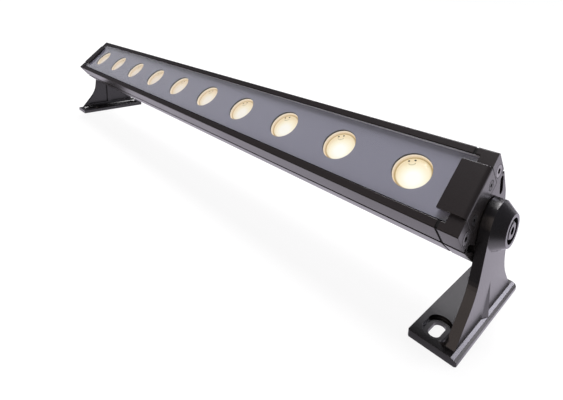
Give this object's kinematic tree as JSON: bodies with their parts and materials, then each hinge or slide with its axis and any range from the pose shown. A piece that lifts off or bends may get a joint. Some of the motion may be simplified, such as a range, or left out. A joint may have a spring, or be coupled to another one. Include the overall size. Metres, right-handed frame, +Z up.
{
  "type": "outdoor wall washer light",
  "caption": "Slim linear outdoor wall washer: a finned lamp head with a row of round light windows under glass, tilting between two cast floor brackets.",
  "frame": {"origin": "on the mounting surface, midway between the two brackets and right under the tilt axis", "axes": "+X along the lamp towards its right-hand end, +Y from the front to the back, +Z up; the lamp faces up and forwards, towards -Y, by 40 degrees at rest"},
  "size_m": [0.5446, 0.08, 0.0928],
  "materials": {
    "body_coat": "semi-gloss anthracite powder coat on extruded aluminium",
    "cast_coat": "semi-gloss anthracite powder coat on cast aluminium",
    "clear_glass": "clear toughened glass",
    "mask_print": "even grey print",
    "black_rubber": "matt",
    "black_plastic": "satin moulded polyamide",
    "screw_steel": "bright stainless steel",
    "reflector_bright": "metallised reflector",
    "led_warm": "warm white light source",
    "board_white": "white solder mask on an aluminium core",
    "board_green": "green solder mask",
    "wire_red": "insulated lead",
    "ring_tan": "fibre friction ring"
  },
  "bodies": {
    "brackets": {"bracket_right": "cast_coat", "bracket_left": "cast_coat", "pivot_washers": "screw_steel"},
    "lamp_head": {"housing": "body_coat", "glass_cover": "clear_glass", "window_mask": "mask_print", "glass_seal": "black_rubber", "led_board": "board_white", "led_emitters": "led_warm", "reflectors": "reflector_bright", "lenses": "led_warm", "board_screws": "screw_steel", "driver_board": "board_green", "board_link": "wire_red", "end_cap_right": "body_coat", "end_cap_left": "body_coat", "end_gasket_right": "black_rubber", "end_gasket_left": "black_rubber", "cap_screws": "screw_steel", "glass_clip_right": "body_coat", "glass_clip_left": "body_coat", "clip_screws": "screw_steel", "gland_body": "black_plastic", "gland_locknut": "screw_steel", "gland_insert": "black_rubber", "gland_nut": "black_plastic", "pivot_bolt_right": "screw_steel", "pivot_bolt_left": "screw_steel", "friction_ring_right": "ring_tan", "friction_ring_left": "ring_tan"}
  },
  "joints": [
    {"name": "tilt", "type": "hinge", "parent": "brackets", "child": "lamp_head", "pos_m": [0, 0, 0.056], "axis": [1, 0, 0], "range_deg": [-130, 50]}
  ]
}
